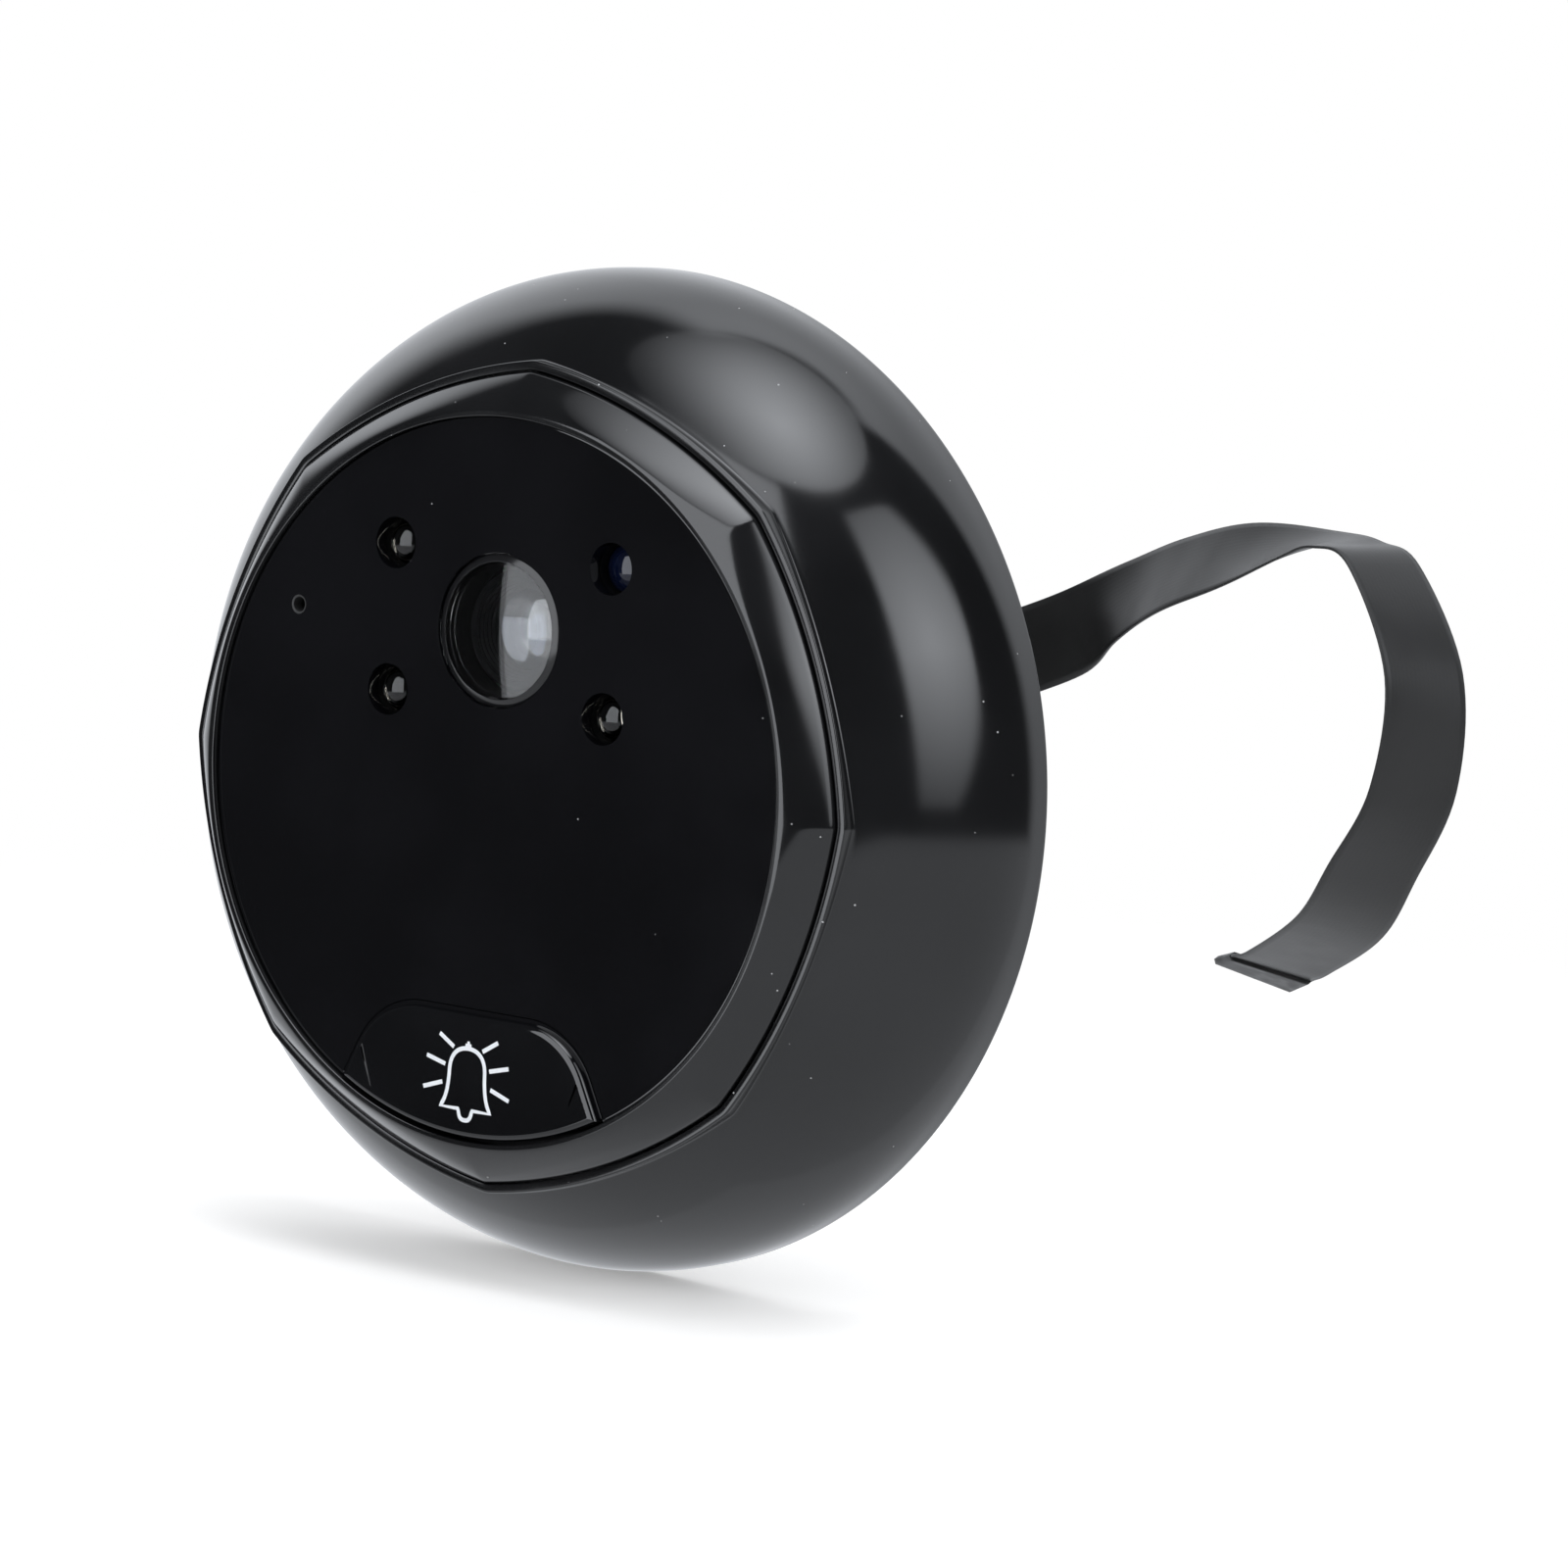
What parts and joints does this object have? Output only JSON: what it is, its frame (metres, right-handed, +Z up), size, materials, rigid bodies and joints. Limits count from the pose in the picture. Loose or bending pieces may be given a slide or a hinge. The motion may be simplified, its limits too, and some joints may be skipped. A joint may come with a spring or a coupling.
{
  "type": "peephole door camera",
  "caption": "Round domed door camera with an octagonal bezel, lens window, infrared LEDs, a doorbell button and a flat ribbon cable from its back.",
  "frame": {"origin": "centre of the rear face of the door pad, on the axis of the dome", "axes": "+Z up, the front faces -Y, +X to the right seen from the front, the cable leaves towards +Y"},
  "size_m": [0.079, 0.0618, 0.065],
  "materials": {
    "housing_gloss": "glossy moulded",
    "bezel_gloss": "glossy moulded",
    "face_smoked": "polished",
    "adhesive_sheet": "soft",
    "window_clear": "polished",
    "lens_glass": "polished and coated",
    "barrel_black": "satin",
    "inner_black": "matte",
    "sensor_die": "smooth",
    "board_green": "satin lacquer",
    "led_clear": "clear cast",
    "sensor_blue": "smoked cast",
    "can_steel": "plain",
    "rubber_black": "matte",
    "button_gloss": "glossy moulded",
    "switch_grey": "matte",
    "plunger_tan": "matte",
    "chip_black": "matte",
    "socket_ivory": "matte",
    "screw_steel": "zinc plated",
    "cover_black": "fine texture",
    "insert_brass": "turned",
    "ribbon_grey": "matte film",
    "contact_film": "stiffened film",
    "pad_foam": "closed-cell foam"
  },
  "bodies": {
    "unit": {"dome_housing": "housing_gloss", "octagon_bezel": "bezel_gloss", "face_plate": "face_smoked", "face_adhesive": "adhesive_sheet", "lens_window": "window_clear", "lens_barrel": "barrel_black", "front_lens": "lens_glass", "rear_lens": "lens_glass", "lens_holder": "inner_black", "image_sensor": "sensor_die", "main_board": "board_green", "led_spacers": "inner_black", "ir_led_upper_left": "led_clear", "ir_led_lower_left": "led_clear", "ir_led_lower_right": "led_clear", "light_sensor": "sensor_blue", "microphone": "can_steel", "microphone_boot": "rubber_black", "tact_switch_body": "switch_grey", "processor_chip": "chip_black", "ribbon_socket": "socket_ivory", "board_screws": "screw_steel", "bezel_screws": "screw_steel", "cover_screws": "screw_steel", "back_cover": "cover_black", "housing_seal": "rubber_black", "mounting_inserts": "insert_brass", "ribbon_grommet": "rubber_black", "ribbon_cable": "ribbon_grey", "ribbon_contact_end": "contact_film", "door_pad": "pad_foam"},
    "button": {"doorbell_button": "button_gloss"},
    "plunger": {"tact_switch_plunger": "plunger_tan"}
  },
  "joints": [
    {"name": "button_press", "type": "slide", "parent": "unit", "child": "button", "axis": [0, 1, 0], "range_m": [0, 0.0005], "stiffness_N_per_m": 600},
    {"name": "plunger_press", "type": "slide", "parent": "unit", "child": "plunger", "axis": [0, 1, 0], "range_m": [0, 0.0005]}
  ],
  "couplings": [
    {"joint": "plunger_press", "follows": "button_press", "ratio": 1}
  ]
}
